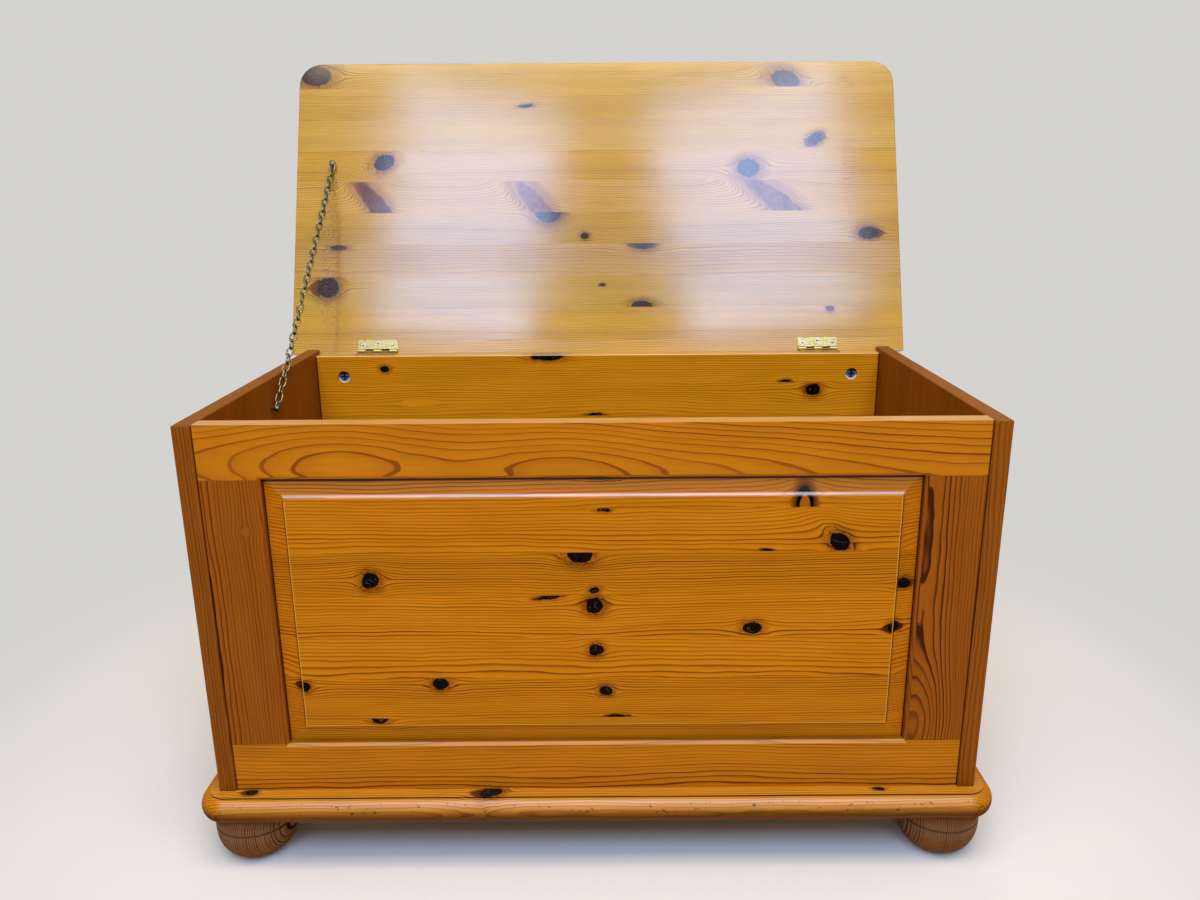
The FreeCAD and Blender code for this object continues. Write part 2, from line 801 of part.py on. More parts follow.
def build():
    """Every node by name, with the lid open."""
    nodes = {
        "side_panel_left": side_panel(True),
        "side_panel_right": side_panel(False),
        "back_panel": back_panel(),
        "front_bottom_rail": frame_rail(base_top),
        "front_top_rail": frame_rail(side_top - rail_width),
        "front_stile_left": frame_stile(True),
        "front_stile_right": frame_stile(False),
        "front_panel": front_panel(),
        "base_board": base_board(),
        "base_screws": group(base_screws()),
        "foot_screws": group(foot_screws()),
        "cam_locks": group(cam_locks()),
        "cam_bolts": group(cam_bolts()),
        "wood_dowels": group(dowels()),
        "lid": opened(lid_board()),
        "chain_side_screw": chain_side_screw(),
        "chain_lid_screw": opened(chain_lid_screw()),
        "chain_lid_link": opened(chain_lid_link()),
    }
    for name, seat in foot_seats().items():
        nodes["bun_foot_" + name] = bun_foot(seat)
    odd = tuple(range(0, knuckle_count, 2))
    even = tuple(range(1, knuckle_count, 2))
    for name, x, lid_knuckles, back_knuckles in (
        ("left", hinge_centres()[0], odd, even),
        ("right", hinge_centres()[1], even, odd),
    ):
        nodes["hinge_" + name + "_back_leaf"] = hinge_leaf(x, -1, back_knuckles)
        nodes["hinge_" + name + "_lid_leaf"] = opened(hinge_leaf(x, 1, lid_knuckles))
        nodes["hinge_" + name + "_pin"] = hinge_pin(x)
    nodes["hinge_screws_back"] = group([s for x in hinge_centres() for s in leaf_screws(x, -1)])
    nodes["hinge_screws_lid"] = opened(group([s for x in hinge_centres() for s in leaf_screws(x, 1)]))
    lower, upper = chain_links()
    nodes["chain_lower_links"] = group(lower)
    nodes["chain_upper_links"] = group(upper)
    return nodes


def stand_centre_y(nodes):
    """Middle of the open chest from front to back; the origin goes there."""
    lid_box = nodes["lid"].optimalBoundingBox(False, False)
    return (lid_box.YMax - base_overhang) / 2


def export_all():
    nodes = build()
    shift = V(0, -stand_centre_y(nodes), 0)
    os.makedirs("parts", exist_ok=True)
    for name, shape in nodes.items():
        shape.translated(shift).exportStep("parts/" + name + ".step")


export_all()
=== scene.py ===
import bpy
import json
import math
from mathutils import Matrix, Vector


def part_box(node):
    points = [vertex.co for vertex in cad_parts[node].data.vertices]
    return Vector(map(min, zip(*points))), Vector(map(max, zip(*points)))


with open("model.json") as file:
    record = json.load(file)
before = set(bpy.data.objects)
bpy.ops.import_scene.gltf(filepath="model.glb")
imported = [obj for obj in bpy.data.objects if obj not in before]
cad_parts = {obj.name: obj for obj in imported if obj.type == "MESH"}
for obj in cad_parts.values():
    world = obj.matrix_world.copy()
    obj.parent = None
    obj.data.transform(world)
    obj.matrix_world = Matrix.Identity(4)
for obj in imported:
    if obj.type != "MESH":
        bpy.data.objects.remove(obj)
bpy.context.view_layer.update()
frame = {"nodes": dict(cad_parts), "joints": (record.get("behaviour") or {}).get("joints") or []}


# ---------------------------------------------------------------- base board
# Glued-up Scots pine board, machine moulded on three edges, stained amber and sprayed with
# nitrocellulose lacquer. It is the plinth and the floor of the chest.

RIGHT, BACK, UP = Vector((1, 0, 0)), Vector((0, 1, 0)), Vector((0, 0, 1))


def linear(hex_colour):
    """An sRGB hex colour as the linear colour that a shader takes."""
    channels = [int(hex_colour[i:i + 2], 16) / 255 for i in (1, 3, 5)]
    return [c / 12.92 if c <= 0.04045 else ((c + 0.055) / 1.055) ** 2.4 for c in channels] + [1]


def add(tree, kind, *values, **named):
    """Add a shader node.

    The values go to its first sockets in order. A name in lower case is a setting, and one with a
    capital is a socket. A value is a number, a colour, a socket or a node.
    """
    made = tree.nodes.new("ShaderNode" + kind)
    for name, value in named.items():
        if name[0].islower():
            setattr(made, name, value)
    sockets = [(name.replace("_", " "), value) for name, value in named.items() if name[0].isupper()]
    for key, value in list(enumerate(values)) + sockets:
        if isinstance(value, bpy.types.Node):
            value = value.outputs[0]
        if isinstance(value, bpy.types.NodeSocket):
            tree.links.new(value, made.inputs[key])
        elif value is not None:
            made.inputs[key].default_value = value
    return made


def new_finish(name):
    """A material with a principled shader, its node tree and that shader."""
    material = bpy.data.materials.new(name)
    material.use_nodes = True
    return material, material.node_tree, material.node_tree.nodes["Principled BSDF"]


def dress(names, material):
    """Give CAD nodes their finish."""
    for name in names:
        slots = frame["nodes"][name].data.materials
        slots.clear()
        slots.append(material)


def facing_up(tree):
    """How far the surface faces up, from 0 where it is upright to 1 where it is level."""
    return add(tree, "SeparateXYZ", add(tree, "TexCoord").outputs["Normal"]).outputs[2]


def knot_swerve():
    """How the grain runs round one knot, as a node group.

    Line is the height across the board that the grain has come from, and Near is the distance to
    the nearest knot, where 1 is a knot's edge. A knot stays in the stave that it grew in.
    """
    group = bpy.data.node_groups.new("grain round a knot", "ShaderNodeTree")
    for name, kind in (
        ("Place", "NodeSocketVector"), ("Stave", "NodeSocketFloat"), ("Line", "NodeSocketFloat"),
        ("Near", "NodeSocketFloat"), ("Centre", "NodeSocketVector"), ("Size", "NodeSocketVector"),
        ("Tilt", "NodeSocketVector"), ("Own stave", "NodeSocketFloat"), ("Height", "NodeSocketFloat"),
    ):
        group.interface.new_socket(name, in_out="INPUT", socket_type=kind)
    for name in ("Line", "Near"):
        group.interface.new_socket(name, in_out="OUTPUT", socket_type="NodeSocketFloat")
    given = group.nodes.new("NodeGroupInput").outputs
    result = group.nodes.new("NodeGroupOutput").inputs
    local = add(
        group, "Mapping", given["Place"], given["Centre"], given["Tilt"], given["Size"],
        vector_type="TEXTURE",
    )
    flat = add(group, "VectorMath", local, (1, 1, 0), operation="MULTIPLY")
    reach = add(group, "VectorMath", flat, operation="LENGTH").outputs["Value"]
    same = add(group, "Math", given["Stave"], given["Own stave"], 0.4, operation="COMPARE")
    drawn_out = add(group, "VectorMath", local, (0.6, 1, 0), operation="MULTIPLY")
    outside = add(group, "VectorMath", drawn_out, operation="LENGTH").outputs["Value"]
    outside = add(group, "Math", outside, 1.0, operation="MAXIMUM")
    fading = add(group, "Math", outside, 1.8, operation="POWER")
    pull = add(group, "Math", same, fading, operation="DIVIDE")
    offset = add(group, "Math", given["Line"], given["Height"], operation="SUBTRACT")
    moved = add(group, "Math", offset, pull, operation="MULTIPLY")
    line = add(group, "Math", given["Line"], moved, operation="SUBTRACT")
    apart = add(group, "Math", same, -9.0, 9.0, operation="MULTIPLY_ADD")
    away = add(group, "Math", reach, apart, operation="ADD")
    near = add(group, "Math", given["Near"], away, operation="MINIMUM")
    group.links.new(line.outputs[0], result["Line"])
    group.links.new(near.outputs[0], result["Near"])
    return group


def pine(
    name, corner, along, across, early, late,
    pith=(40, -25), ring=2.2, sway=(5, 5), humps=(), stave=None, uneven=0.2, knots=(), spikes=(),
    bends=(), joint_stain_and_shade=(), seed=0.0, contrast=0.9, autumn_from=0.62, lean=0.0, roughness=0.25, dead=1.0,
    gloss=0.04, coat=1.0,
):
    """Stained and lacquered pine, in millimetres in the board's own directions.

    Its dark autumn wood shows as fine lines on a golden ground, under a lacquer that is satin on
    the flat faces, which were rubbed down, and shinier on the mouldings.

    corner is a point of the show face, along the grain's direction and across the board's width.
    The pith lies that far up and behind the corner, or by chance in each stave, and it comes nearer
    to the face in humps of (along, rise, half length). Each knot is (along, across, half length, half
    height, tilt in degrees) and then a point across in its stave, if its middle isn't in that stave.
    Spikes are paler knots that were cut lengthwise, and bends are where a knot in the next board has
    only bent the grain. stave is the height of one joint and the width of the staves, and None is a
    board in one piece. Dark lines lie at the joints, at distances along or across: stain in the
    joints, and painted shade where a panel sits back behind the frame and in inside corners. uneven
    is how far the staves differ in tone. ring is the width of a year's growth, autumn_from is the
    part of it where its dark wood starts, and contrast is how dark that is. sway is how far the pith
    wanders up and in, and lean is its fall along the board. dead is 1 where the knots are black and
    0 where they are brown. gloss is that of the flat faces, and coat is how much of the shiny last
    coat is left on the mouldings. Another seed is another tree.
    """
    material, tree, shader = new_finish(name)
    coordinates = add(tree, "TexCoord")
    place = add(tree, "VectorMath", coordinates.outputs["Object"], corner, operation="SUBTRACT")
    length, height, depth = [
        add(tree, "VectorMath", place, axis * 1000, operation="DOT_PRODUCT").outputs["Value"]
        for axis in (along, across, along.cross(across))
    ]
    flat_place = add(tree, "CombineXYZ", length, height, 0.0)

    # which stave, and its chances of tone and place in the tree
    first, width = stave or (-500.0, 1000.0)
    raised = add(tree, "Math", height, first, operation="SUBTRACT")
    number = add(tree, "Math", raised, width, operation="DIVIDE")
    number = add(tree, "Math", number, operation="FLOOR")
    seeded = add(tree, "Math", number, seed, operation="ADD")
    chance = add(tree, "TexWhiteNoise", W=seeded, noise_dimensions="1D").outputs["Color"]
    chance = add(tree, "SeparateColor", chance)

    # grain swerves round knots, whose outlines waver every centimetre or so
    edge = add(tree, "TexNoise", flat_place, Scale=0.1, Detail=2.0).outputs["Color"]
    edge = add(tree, "VectorMath", edge, (0.5, 0.5, 0.5), operation="SUBTRACT")
    edge = add(tree, "VectorMath", edge, (5, 5, 0), operation="MULTIPLY")
    rough_place = add(tree, "VectorMath", flat_place, edge, operation="ADD")
    line, nearest = height, []
    for kind in (knots, spikes, bends):
        near = 9.0
        for at, up, half_length, half_height, tilt, *inside in kind:
            swerve = add(
                tree, "Group", rough_place, number, line, near, (at, up, 0),
                (half_length, half_height, 1), (0, 0, math.radians(tilt)),
                math.floor(((inside or [up])[0] - first) / width), up,
                node_tree=bpy.data.node_groups["grain round a knot"],
            )
            line, near = swerve.outputs["Line"], swerve.outputs["Near"]
        nearest.append(near)
    near_knot, near_spike, _ = nearest

    # growth rings about the pith, which wanders over a quarter of a metre, and wavers over 40 mm
    slow = add(tree, "CombineXYZ", length, line, depth)
    slow = add(tree, "VectorMath", slow, (1 / 260, 1 / 60, 1 / 60), operation="MULTIPLY")
    shift = add(tree, "CombineXYZ", seeded, seeded, seeded)
    shifted = add(tree, "VectorMath", slow, shift, operation="ADD")
    wander = add(tree, "TexNoise", shifted, Scale=1.0, Detail=2.0, Roughness=0.45).outputs["Color"]
    wander = add(tree, "VectorMath", wander, (0.5, 0.5, 0.5), operation="SUBTRACT")
    drift = add(tree, "SeparateXYZ", wander)
    if stave:
        low = add(tree, "Math", number, width, first, operation="MULTIPLY_ADD")
        pith_height = add(
            tree, "Math", chance.outputs[0], 1.5 * width, -1.8 * width, operation="MULTIPLY_ADD"
        )
        pith_height = add(tree, "Math", low, pith_height, operation="ADD")
        pith_depth = add(tree, "Math", chance.outputs[1], -50.0, -14.0, operation="MULTIPLY_ADD")
    else:
        pith_height, pith_depth = pith
    up_off = add(tree, "Math", line, pith_height, operation="SUBTRACT")
    in_off = add(tree, "Math", depth, pith_depth, operation="SUBTRACT")
    up_off = add(tree, "Math", length, lean, up_off, operation="MULTIPLY_ADD")
    up_off = add(tree, "Math", drift.outputs[0], 2.0 * sway[0], up_off, operation="MULTIPLY_ADD")
    in_off = add(tree, "Math", drift.outputs[1], 2.0 * sway[1], in_off, operation="MULTIPLY_ADD")
    for middle, rise, half in humps:
        off = add(tree, "Math", length, middle, operation="SUBTRACT")
        off = add(tree, "Math", off, half, operation="DIVIDE")
        bell = add(tree, "Math", off, off, operation="MULTIPLY")
        bell = add(tree, "Math", bell, -1.0, operation="MULTIPLY")
        bell = add(tree, "Math", bell, operation="EXPONENT")
        in_off = add(tree, "Math", bell, -rise, in_off, operation="MULTIPLY_ADD")
    from_pith = add(tree, "CombineXYZ", up_off, in_off, 0.0)
    radius = add(tree, "VectorMath", from_pith, operation="LENGTH").outputs["Value"]
    waver = add(tree, "CombineXYZ", length, line, depth)
    waver = add(tree, "VectorMath", waver, (1 / 40, 1 / 12, 1 / 12), operation="MULTIPLY")
    waver = add(tree, "TexNoise", waver, Scale=1.0, Detail=1.0)
    radius = add(tree, "Math", waver, 1.6, radius, operation="MULTIPLY_ADD")
    years = add(tree, "Math", radius, ring, operation="DIVIDE")
    seasons = add(tree, "TexNoise", W=years, Scale=0.3, Detail=1.0, noise_dimensions="1D")
    years = add(tree, "Math", seasons, 0.9, years, operation="MULTIPLY_ADD")

    # each year's wood darkens from spring to autumn, and some years and decades more than others
    season = add(tree, "Math", years, operation="FRACT")
    summer = add(tree, "MapRange", season, 0.2, 0.9, 0.0, 0.3, interpolation_type="SMOOTHSTEP")
    autumn = add(tree, "MapRange", season, autumn_from, 0.86, 0.0, 0.75, interpolation_type="SMOOTHSTEP")
    winter = add(tree, "MapRange", season, 1.0, 0.96)
    year = add(tree, "Math", years, operation="FLOOR")
    strength = add(tree, "TexWhiteNoise", W=year, noise_dimensions="1D")
    strength = add(tree, "Math", strength, 0.55, 0.5, operation="MULTIPLY_ADD")
    decades = add(tree, "TexNoise", W=years, Scale=0.11, Detail=1.0, noise_dimensions="1D")
    decades = add(tree, "MapRange", decades, 0.35, 0.6, 0.55, 1.3)
    strength = add(tree, "Math", strength, decades, operation="MULTIPLY")
    strength = add(tree, "Math", strength, winter, operation="MULTIPLY")
    latewood = add(tree, "Math", summer, autumn, operation="ADD")
    latewood = add(tree, "Math", latewood, strength, operation="MULTIPLY")

    # fibres, which are too fine to show and so are drawn 0.8 mm across, and slow changes of tone
    fibre_place = add(tree, "CombineXYZ", length, line, depth)
    fibre_place = add(tree, "VectorMath", fibre_place, (1 / 45, 1 / 0.8, 1 / 0.8), operation="MULTIPLY")
    fibre = add(tree, "TexNoise", fibre_place, Scale=1.0, Detail=2.0, Roughness=0.6)
    cloud = add(tree, "TexNoise", shifted, Scale=2.2, Detail=2.0, Roughness=0.6)
    near_any = add(tree, "Math", near_knot, near_spike, operation="MINIMUM")
    halo = add(tree, "MapRange", near_any, 2.4, 1.0, 0.0, 0.42, interpolation_type="SMOOTHSTEP")
    darkness = add(tree, "Math", halo, 2.0, contrast, operation="MULTIPLY_ADD")
    dark = add(tree, "Math", latewood, darkness, operation="MULTIPLY")
    wood = add(tree, "MixRGB", dark, linear(early), linear(late))
    tone = add(tree, "Math", fibre, 0.5, 0.59, operation="MULTIPLY_ADD")
    tone = add(tree, "Math", cloud, 0.32, tone, operation="MULTIPLY_ADD")
    if stave:
        level = add(tree, "Math", tone, uneven / 2, operation="SUBTRACT")
        tone = add(tree, "Math", chance.outputs[2], uneven, level, operation="MULTIPLY_ADD")
        red = add(tree, "Math", chance.outputs[1], 2 * uneven, operation="MULTIPLY")
        wood = add(tree, "MixRGB", red, wood, linear("#fff0dc"), blend_type="MULTIPLY")
    tone = add(tree, "CombineXYZ", tone, tone, tone)
    wood = add(tree, "MixRGB", 1.0, wood, tone, blend_type="MULTIPLY")

    # stain goes deeper where the fibres end in the surface
    facing = add(tree, "VectorMath", coordinates.outputs["Normal"], along, operation="DOT_PRODUCT")
    facing = add(tree, "Math", facing.outputs["Value"], operation="ABSOLUTE")
    soak = add(tree, "MapRange", facing, 0.02, 0.17)
    wood = add(tree, "MixRGB", soak, wood, linear("#fbeccb"), blend_type="MULTIPLY")

    # spikes, brown and faintly striped, and live or dead knots, torn in shreds of a millimetre at
    # their edges and cracked, with resin-darkened wood round them
    stripes = add(tree, "VectorMath", rough_place, (0.5, 0.12, 0), operation="MULTIPLY")
    stripes = add(tree, "TexNoise", stripes, Scale=1.0, Detail=2.0)
    stripes = add(tree, "MapRange", stripes, 0.3, 0.7, 0.5, 1.0)
    in_spike = add(tree, "MapRange", near_spike, 1.12, 0.9)
    in_spike = add(tree, "Math", in_spike, stripes, operation="MULTIPLY")
    wood = add(tree, "MixRGB", in_spike, wood, linear("#a0602e"), blend_type="MULTIPLY")
    wood = add(tree, "MixRGB", halo, wood, linear("#9a5020"), blend_type="MULTIPLY")
    shreds = add(tree, "VectorMath", flat_place, (0.35, 1.0, 0), operation="MULTIPLY")
    shreds = add(tree, "TexNoise", shreds, Scale=0.9, Detail=3.0, Roughness=0.7)
    torn = add(tree, "MapRange", shreds, 0.5, 0.6)
    bark = add(tree, "MapRange", near_knot, 1.7, 1.1)
    bark = add(tree, "Math", bark, torn, operation="MULTIPLY")
    wood = add(tree, "MixRGB", bark, wood, linear("#5a2008"), blend_type="MULTIPLY")
    whorl = add(tree, "Math", near_knot, 30.0, operation="MULTIPLY")
    whorl = add(tree, "Math", whorl, operation="SINE")
    whorl = add(tree, "Math", whorl, 0.3, torn, operation="MULTIPLY_ADD")
    live = add(tree, "MixRGB", whorl, linear("#260c08"), linear("#66301a"))
    charred = add(tree, "MixRGB", torn, linear("#040201"), linear("#160803"))
    heart = add(tree, "MixRGB", dead, live, charred)
    crack = add(tree, "TexNoise", flat_place, Scale=0.09, Detail=1.0)
    crack = add(tree, "Math", crack, 0.52, operation="SUBTRACT")
    crack = add(tree, "Math", crack, operation="ABSOLUTE")
    crack = add(tree, "MapRange", crack, 0.01, 0.003, 0.0, 0.35)
    middle_of_knot = add(tree, "MapRange", near_knot, 0.75, 0.5)
    crack = add(tree, "Math", crack, middle_of_knot, operation="MULTIPLY")
    heart = add(tree, "MixRGB", crack, heart, linear("#a87c48"))
    ragged = add(tree, "Math", shreds, 0.25, near_knot, operation="MULTIPLY_ADD")
    in_knot = add(tree, "MapRange", ragged, 1.17, 1.09)
    wood = add(tree, "MixRGB", in_knot, wood, heart)

    # dark lines at the joints: stain in the joints, and painted shade where a panel sits back behind the
    # frame and in inside corners
    for way, position in joint_stain_and_shade:
        off = add(tree, "Math", {"along": length, "across": height}[way], position, operation="SUBTRACT")
        off = add(tree, "Math", off, operation="ABSOLUTE")
        joint_dark = add(tree, "MapRange", off, 1.7, 0.7)
        wood = add(tree, "MixRGB", joint_dark, wood, linear("#3c1606"), blend_type="MULTIPLY")
    tree.links.new(wood.outputs[0], shader.inputs["Base Color"])

    # lacquer, duller over end grain, and its last coat
    sheen = add(tree, "Math", fibre, 0.16, roughness - 0.08, operation="MULTIPLY_ADD")
    sheen = add(tree, "Math", soak, 0.4, sheen, operation="MULTIPLY_ADD")
    if stave:
        sheen = add(tree, "Math", chance.outputs[0], 0.1, sheen, operation="MULTIPLY_ADD")
    tree.links.new(sheen.outputs[0], shader.inputs["Roughness"])
    relief = add(tree, "Math", latewood, 0.5, fibre, operation="MULTIPLY_ADD")
    bump = add(tree, "Bump", 0.1, 0.0002, Height=relief)
    tree.links.new(bump.outputs[0], shader.inputs["Normal"])
    shader.inputs["IOR"].default_value = 1.5
    shader.inputs["Specular IOR Level"].default_value = gloss
    tilt = facing_up(tree)
    moulded = add(tree, "MapRange", tilt, 0.1, 0.4, 0.0, coat)
    not_level = add(tree, "MapRange", tilt, 0.9, 0.98, 1.0, 0.4)
    side_grain = add(tree, "Math", soak, -1.0, 1.0, operation="MULTIPLY_ADD")
    for part in (not_level, side_grain):
        moulded = add(tree, "Math", moulded, part, operation="MULTIPLY")
    tree.links.new(moulded.outputs[0], shader.inputs["Coat Weight"])
    shader.inputs["Coat IOR"].default_value = 2.4
    shader.inputs["Coat Roughness"].default_value = 0.48
    return material


knot_swerve()
base_low, base_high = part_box("base_board")
base_bottom, base_top, base_front = base_low.z * 1000, base_high.z * 1000, base_low.y * 1000
base_pine = pine(
    "amber lacquered pine, base board", (0, base_low.y, base_high.z), RIGHT, BACK,
    "#c68118", "#6c3408", stave=(-11, 43), seed=3.1, coat=0.35, contrast=1.1,
    knots=[(-342, 18, 6, 4, 0), (-105, 16, 11, 7, 10), (279, 17, 6, 2, 0)],
)
dress(["base_board"], base_pine)


def glaze(material, colour, dull, mask, blend="MULTIPLY"):
    """Multiply a finish by a colour, or mix one in, and make it duller, where a mask is 1.

    The mask is a function of the tree and of the sockets of x, y and z in millimetres.
    """
    tree = material.node_tree
    shader = tree.nodes["Principled BSDF"]
    place = add(tree, "TexCoord").outputs["Object"]
    place = add(tree, "VectorMath", place, (1000, 1000, 1000), operation="MULTIPLY")
    strength = mask(tree, *add(tree, "SeparateXYZ", place).outputs)
    below = shader.inputs["Base Color"].links[0].from_socket
    glazed = add(tree, "MixRGB", strength, below, linear(colour), blend_type=blend)
    tree.links.new(glazed.outputs[0], shader.inputs["Base Color"])
    sheen = shader.inputs["Roughness"].links[0].from_socket
    sheen = add(tree, "Math", strength, dull, sheen, operation="MULTIPLY_ADD")
    tree.links.new(sheen.outputs[0], shader.inputs["Roughness"])


def band(tree, value, low, high, soft):
    """1 where a value lies between two bounds, with edges that fade over twice the softness."""
    above = add(tree, "MapRange", value, low - soft, low + soft)
    below = add(tree, "MapRange", value, high + soft, high - soft)
    return add(tree, "Math", above, below, operation="MULTIPLY")


def in_the_step(tree, x, y, z):
    """Painted shade on the upright of the step, which is the one just below the top."""
    upright = add(tree, "MapRange", facing_up(tree), 0.8, 0.3)
    step_foot = base_top - 1.9
    high = add(tree, "MapRange", z, step_foot - 0.3, step_foot + 0.3)
    return add(tree, "Math", upright, high, operation="MULTIPLY")


def under_the_nose(tree, x, y, z):
    """Painted shade on the rounded edge, darker towards its bottom, which turns away from the light above.
    """
    low = add(tree, "MapRange", z, base_top - 4, base_bottom + 7, interpolation_type="SMOOTHSTEP")
    upright = add(tree, "MapRange", facing_up(tree), 0.8, 0.6)
    return add(tree, "Math", low, upright, operation="MULTIPLY")


def knocks(tree, x, y, z):
    """Feet have left dark nicks, of a few millimetres, along the front of the rounded edge."""
    round_the_nose = add(tree, "Math", y, z, operation="ADD")
    place = add(tree, "CombineXYZ", x, round_the_nose, 0.0)
    nicks = add(tree, "TexNoise", place, Scale=0.14, Detail=3.0, Roughness=0.65)
    nicks = add(tree, "MapRange", nicks, 0.62, 0.66)
    upper = band(tree, z, base_top - 14, base_top - 3, 1)
    front = add(tree, "MapRange", y, base_front + 12, base_front + 8)
    region = add(tree, "Math", upper, front, operation="MULTIPLY")
    return add(tree, "Math", nicks, region, operation="MULTIPLY")


glaze(base_pine, "#6c5c54", 0.2, in_the_step)
glaze(base_pine, "#6a5254", 0.2, knocks)
glaze(base_pine, "#8a7468", 0.1, under_the_nose)


# ---------------------------------------------------------------- bun feet
# Four feet turned from darker stained pine, with a ring cut round each near the top. The stain
# leaves them a dull brown with the tree's rings showing as upright lines.

for foot, pith in (
    ("bun_foot_front_left", (88, -24)), ("bun_foot_front_right", (-74, 18)),
    ("bun_foot_rear_left", (70, 30)), ("bun_foot_rear_right", (-90, -30)),
):
    foot_low, foot_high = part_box(foot)
    foot_axis = ((foot_low.x + foot_high.x) / 2, (foot_low.y + foot_high.y) / 2, 0)
    dress([foot], pine(
        "brown stained pine, " + foot, foot_axis, UP, -RIGHT, "#7c5434", "#1c0f06",
        pith=pith, ring=1.9, sway=(4, 4), seed=pith[0], contrast=1.0, roughness=0.45,
    ))


# ---------------------------------------------------------------- side panels
# Glued-up pine with the staves upright, so their end grain shows along the top. Their stain has
# come out deeper than on the front.

def tops_lit_from_above(tree, x, y, z):
    """Surfaces that face up are painted paler, as painted light from above."""
    return add(tree, "MapRange", facing_up(tree), 0.4, 0.9, 0.0, 0.4)


for side, inner, wide in (("left", 1, BACK), ("right", 0, -BACK)):
    side_low, side_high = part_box("side_panel_" + side)
    face = (side_low, side_high)[inner].x
    side_pine = pine(
        "amber lacquered pine, side panel " + side, (face, 0, side_low.z), UP, wide,
        "#8c4c0c", "#4c2606", stave=(-20, 42.5), seed=7.3 + inner, contrast=0.95,
        knots=[(120, -90, 9, 7, 0), (255, 35, 7, 6, 20), (300, -140, 6, 5, 0), (60, 110, 8, 6, 0)],
    )
    dress(["side_panel_" + side], side_pine)
    # Painted light from above on the end-grain tops.
    glaze(side_pine, "#8c6230", 0.0, tops_lit_from_above, "MIX")


# ---------------------------------------------------------------- back panel
# Glued-up pine between the sides, the same stain, with the inner face painted brighter and yellower as
# painted light inside the shaded chest.

back_low, back_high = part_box("back_panel")
side_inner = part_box("side_panel_right")[0].x * 1000
# Dark lines where the sides meet: painted shade in the back's inside corners, and stain in the rails'
# joints.
side_joints = [("along", -side_inner), ("along", side_inner)]
back_pine = pine(
    "amber lacquered pine, back panel", (0, back_low.y, back_low.z), RIGHT, UP,
    "#d48c12", "#94520a", stave=(36, 42.5), seed=5.7, joint_stain_and_shade=side_joints,
    knots=[
        (-271, 354, 6, 4, 0), (276, 324, 9, 8, 0), (240, 335, 6, 2.5, 0), (-64, 369, 20, 5, 0),
        (-4, 292, 9, 2.5, 0), (60, 150, 9, 7, 0), (-180, 90, 8, 6, 0),
    ],
    bends=[(-232, 309, 11, 5, 0)],
)
dress(["back_panel"], back_pine)


def outer_face(tree, x, y, z):
    """The back's outer face is made a little browner, so that only the inner face keeps its painted light.
    """
    return add(tree, "MapRange", y, back_high.y * 1000 - 2, back_high.y * 1000 - 1)


# Pale amber for painted light: on tops that face up, and as a painted highlight along the field's edge.
pale_painted_light = "#cc9a38"
glaze(back_pine, pale_painted_light, 0.0, tops_lit_from_above, "MIX")
glaze(back_pine, "#e4d4e6", 0.0, outer_face)


# ---------------------------------------------------------------- front frame
# Two rails that cam fittings pull to the side panels, and two stiles tongued between the rails,
# each of one piece of pine. The top rail is flat sawn, so its grain makes long loops.

top_rail_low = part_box("front_top_rail")[0]
top_rail_pine = pine(
    "amber lacquered pine, top rail", (0, top_rail_low.y, top_rail_low.z), RIGHT, UP,
    "#b66c0e", "#702e08", pith=(3, -37.4), lean=0.034, ring=4.2, sway=(3, 3), seed=11.4, contrast=0.75,
    autumn_from=0.8, humps=[(-225, 10, 75), (-22, 10, 75), (330, -10, 150), (-380, -6, 70)],
    joint_stain_and_shade=side_joints,
)
dress(["front_top_rail"], top_rail_pine)
glaze(top_rail_pine, pale_painted_light, 0.0, tops_lit_from_above, "MIX")

bottom_rail_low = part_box("front_bottom_rail")[0]
bottom_rail_pine = pine(
    "amber lacquered pine, bottom rail", (0, bottom_rail_low.y, bottom_rail_low.z), RIGHT, UP,
    "#b66d0d", "#642c06", pith=(-25, -36), ring=3.1, sway=(9, 9), seed=2.2, autumn_from=0.64, coat=0.1,
    joint_stain_and_shade=side_joints,
)
dress(["front_bottom_rail"], bottom_rail_pine)


def ledge(tree, x, y, z):
    """Painted shade on the ledge below the panel, behind its rounded front edge."""
    top = add(tree, "MapRange", facing_up(tree), 0.6, 0.9)
    rail_face = bottom_rail_low.y * 1000
    behind = add(tree, "MapRange", y, rail_face + 1.6, rail_face + 3)
    return add(tree, "Math", top, behind, operation="MULTIPLY")


glaze(bottom_rail_pine, pale_painted_light, 0.0, tops_lit_from_above, "MIX")
glaze(bottom_rail_pine, "#b8ac98", 0.2, ledge)

for side, pith, humps, joint, swirl in (
    ("left", (14, -34), (), 0, (232, -38, 2, 3.5, 0)),
    ("right", (-4, -33.3), [(28, 12, 60)], -56, (250, -30, 1, 1, 0)),
):
    dress(["front_stile_" + side], pine(
        "amber lacquered pine, stile " + side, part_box("front_stile_" + side)[0], UP, -RIGHT,
        "#904c0b", "#3e1804", pith=pith, humps=humps, ring=2.5, sway=(5, 5), seed=pith[0], contrast=0.8,
        joint_stain_and_shade=[("across", joint)], bends=[swirl],
    ))


# ---------------------------------------------------------------- front panel
# Raised and fielded panel, glued up from staves and left loose in the frame's grooves. It has
# many small dead knots.

